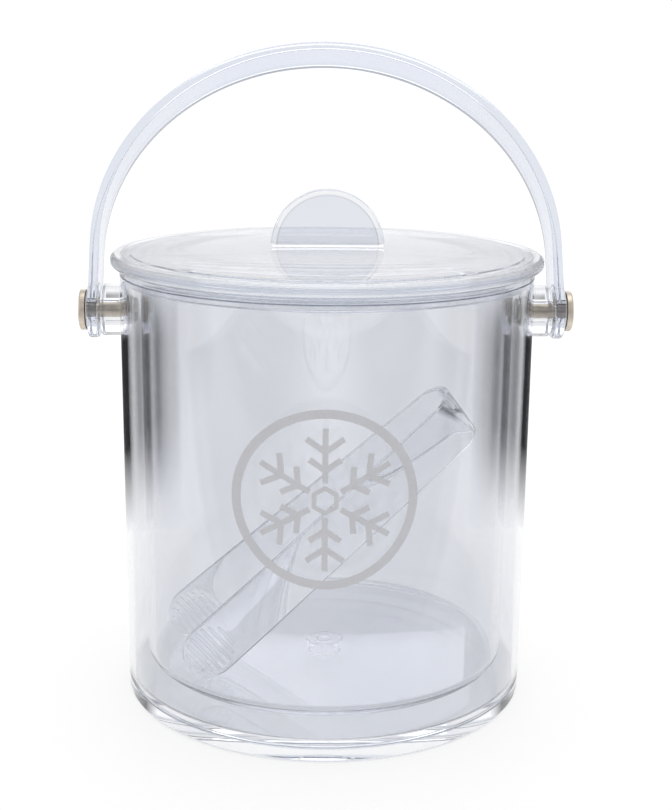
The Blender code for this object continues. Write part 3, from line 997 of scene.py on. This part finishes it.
UPRIGHT = math.pi / 2
TABLE_SIZE = 14.0
TABLE_COLOUR = (0.28, 0.28, 0.28)
TABLE_GLOW = 0.78
PAPER_GLOW = (0.98, 0.98, 1.0)
BOARD_SHADOW = (0.01, 0.01, 0.013)
BOARD_TALL = 0.16
BOARD_DARK_FROM = 0.055  # heights between which the upright boards are darkest
BOARD_DARK_TO = 0.125
REAR_SIZE = (0.18, BOARD_TALL)
REAR_ASIDE = 0.20
REAR_SHIFT = 0.008
REAR_BACK = 0.19
REAR_TURN = math.radians(-20)
REAR_HALF_DARK = 0.085
WING_SIZE = (0.24, BOARD_TALL)
WING_ASIDE = 0.37
WING_BACK = 0.10
WING_TURN = math.radians(-60)
WING_HALF_DARK = 0.10
LOW_FRONT_SIZE = (1.8, 0.85)
LOW_FRONT_PLACE = (0.0, -0.60, 1.0 * MM)
FRONT_SHADOW = (0.45, 0.45, 0.47)
PATH_HALF = 0.05  # half the width of the bright path
PATH_FADED = 0.32  # where its light has faded to grey
FAR_FRONT_SIZE = (1.6, 0.5)
FAR_FRONT_PLACE = (0.0, -0.9, 0.30)
FAR_FRONT_COLOUR = (0.04, 0.04, 0.045)
FAR_FRONT_GLOW = 0.40
LAMP_TARGET = (0.0, 0.0, 0.1)
SKY_STRENGTH = 1.05
# Height in the sky, from straight down (0) to straight up (1), and its brightness there
SKY = (
    (0.0, 1.0),
    (0.05, 1.0),
    (0.12, 0.84),
    (0.18, 0.86),
    (0.3, 1.0),
    (0.45, 1.0),
    (0.6, 0.5),
    (0.8, 0.5),
    (1.0, 1.0),
)
CLEAR_BOUNCES = 40  # light crosses many clear walls here


def plain_material(name, colour, glow):
    """A matt, even colour that also gives off a little white light."""
    made = bpy.data.materials.new(name)
    made.use_nodes = True
    shader = made.node_tree.nodes["Principled BSDF"]
    shader.inputs["Base Color"].default_value = (*colour, 1.0)
    shader.inputs["Roughness"].default_value = 0.7
    shader.inputs["Specular IOR Level"].default_value = 0.1
    shader.inputs["Emission Color"].default_value = (1.0, 1.0, 1.0, 1.0)
    shader.inputs["Emission Strength"].default_value = glow
    return made


def make_floor():
    clear_selection()
    bpy.ops.mesh.primitive_plane_add(size=TABLE_SIZE, location=(0.0, 3.0, -0.2 * MM))
    table = named("table")
    settle()
    table.data.materials.append(plain_material("pale table", TABLE_COLOUR, TABLE_GLOW))


def shaded_board(name):
    return Finish(name, "", Roughness=1.0, Emission_Strength=1.0)


def shade(board, depth, shadow):
    """Lets a board go from paper white to a shadow, and gives its material."""
    board.feed("Emission Color", board.colours(depth, PAPER_GLOW, shadow))
    board.feed("Base Color", board.colours(depth, (0.02, 0.02, 0.02), (0.01, 0.01, 0.01)))
    return board.material


def soft_board(name, axis, middle, half):
    """An upright dark board that pales to the table's white towards its edges."""
    board = shaded_board(name)
    parts = board.apart()
    aside = ((parts[axis] - middle) ** 2.0) ** 0.5
    depth = board.span(aside, half * 0.55, half, 1.0, 0.0)
    depth = depth * board.span(parts[2], 0.0, BOARD_DARK_FROM, 0.0, 1.0)
    depth = depth * board.span(parts[2], BOARD_DARK_TO, BOARD_TALL, 1.0, 0.0)
    return shade(board, depth, BOARD_SHADOW)


def front_board():
    """A grey board that lies before the bucket, with a soft bright path down its middle."""
    board = shaded_board("front board")
    across = board.apart()[0]
    depth = board.span((across**2.0) ** 0.5, PATH_HALF, PATH_FADED, 0.0, 1.0)
    return shade(board, depth, FRONT_SHADOW)


def make_card(name, size, place, turn, finish):
    """A board beside the set that shows only in reflections and through the clear walls."""
    clear_selection()
    bpy.ops.mesh.primitive_plane_add(size=1.0, location=place, rotation=turn)
    card = named(name)
    card.scale = (*size, 1.0)
    settle()
    card.data.materials.append(finish)
    card.visible_camera = False
    card.visible_shadow = False
    card.visible_diffuse = False


def make_lamp(name, size, place, target, power):
    lamp = bpy.data.lights.new(name, "AREA")
    lamp.shape = "RECTANGLE"
    lamp.size, lamp.size_y = size
    lamp.energy = power
    made = bpy.data.objects.new(name, lamp)
    bpy.context.scene.collection.objects.link(made)
    made.location = place
    made.rotation_euler = (Vector(target) - Vector(place)).to_track_quat("-Z", "Y").to_euler()


def make_world():
    """Soft light from all round, which changes with height only."""
    world = bpy.data.worlds.new("studio")
    bpy.context.scene.world = world
    world.use_nodes = True
    tree = world.node_tree
    back = tree.nodes["Background"]
    place = tree.nodes.new("ShaderNodeTexCoord")
    parts = tree.nodes.new("ShaderNodeSeparateXYZ")
    ramp = tree.nodes.new("ShaderNodeValToRGB")
    tree.links.new(place.outputs["Generated"], parts.inputs[0])
    tree.links.new(parts.outputs[2], ramp.inputs[0])
    tree.links.new(ramp.outputs[0], back.inputs[0])
    for index, (position, level) in enumerate(SKY):
        stop = ramp.color_ramp.elements[0] if index == 0 else ramp.color_ramp.elements.new(position)
        stop.position = position
        stop.color = (level, level, level * 1.01, 1.0)
    last = ramp.color_ramp.elements[len(SKY)]
    ramp.color_ramp.elements.remove(last)
    back.inputs[1].default_value = SKY_STRENGTH


def make_camera():
    """A 75 mm lens a little above the lid, looking down and slightly from the left."""
    pitch = math.radians(13.98)
    swing = math.radians(-2.14)
    roll = math.radians(0.59)
    distance = 0.6689
    aside = 4.7 * MM
    height = 136.6 * MM
    back = Vector(
        (
            math.sin(swing) * math.cos(pitch),
            -math.cos(swing) * math.cos(pitch),
            math.sin(pitch),
        )
    )
    right = Vector((math.cos(swing), math.sin(swing), 0.0))
    upward = back.cross(right)
    level_right = math.cos(roll) * right + math.sin(roll) * upward
    level_up = math.cos(roll) * upward - math.sin(roll) * right
    lens = bpy.data.cameras.new("camera")
    lens.sensor_fit = "HORIZONTAL"
    lens.sensor_width = 36.0
    lens.lens = 75.0
    lens.clip_start = 0.01
    made = bpy.data.objects.new("camera", lens)
    bpy.context.scene.collection.objects.link(made)
    eye = aside * right + height * UP + distance * back
    turn = Matrix((level_right, level_up, back)).transposed().to_4x4()
    made.matrix_world = Matrix.Translation(eye) @ turn
    bpy.context.scene.camera = made


def make_studio():
    """The table, the light, two dark boards behind, one at each side and two grey ones in front."""
    make_floor()
    make_world()
    level = BOARD_TALL / 2
    for side, word in ((-1, "left"), (1, "right")):
        middle = side * REAR_ASIDE + REAR_SHIFT
        board = soft_board("rear board " + word, 0, middle, REAR_HALF_DARK)
        place = (middle, REAR_BACK, level)
        make_card("rear_" + word, REAR_SIZE, place, (UPRIGHT, 0.0, side * REAR_TURN), board)
        board = soft_board("wing board " + word, 1, WING_BACK, WING_HALF_DARK)
        place = (side * WING_ASIDE, WING_BACK, level)
        make_card("wing_" + word, WING_SIZE, place, (UPRIGHT, 0.0, side * WING_TURN), board)
    make_card("front_low", LOW_FRONT_SIZE, LOW_FRONT_PLACE, (0.0, 0.0, 0.0), front_board())
    front = plain_material("far front board", FAR_FRONT_COLOUR, FAR_FRONT_GLOW)
    make_card("dark_front", FAR_FRONT_SIZE, FAR_FRONT_PLACE, (UPRIGHT, 0.0, 0.0), front)
    make_lamp("overhead", (1.1, 1.1), (0.1, 0.1, 1.5), LAMP_TARGET, 3.0)
    make_lamp("back", (1.2, 0.6), (0.0, 1.3, 0.9), LAMP_TARGET, 2.0)


scene = bpy.context.scene
scene.view_settings.view_transform = "Standard"
scene.cycles.max_bounces = CLEAR_BOUNCES
scene.cycles.transmission_bounces = CLEAR_BOUNCES
scene.cycles.glossy_bounces = CLEAR_BOUNCES
scene.cycles.diffuse_bounces = 4
scene.cycles.transparent_max_bounces = 24

make_camera()
outer_wall = make_outer_wall()
make_base()
make_liner()
make_rim()
make_lid()
make_knob()
make_handle()
make_pivot(-1, "left")
make_pivot(1, "right")
make_tongs()
make_print(outer_wall)
make_studio()
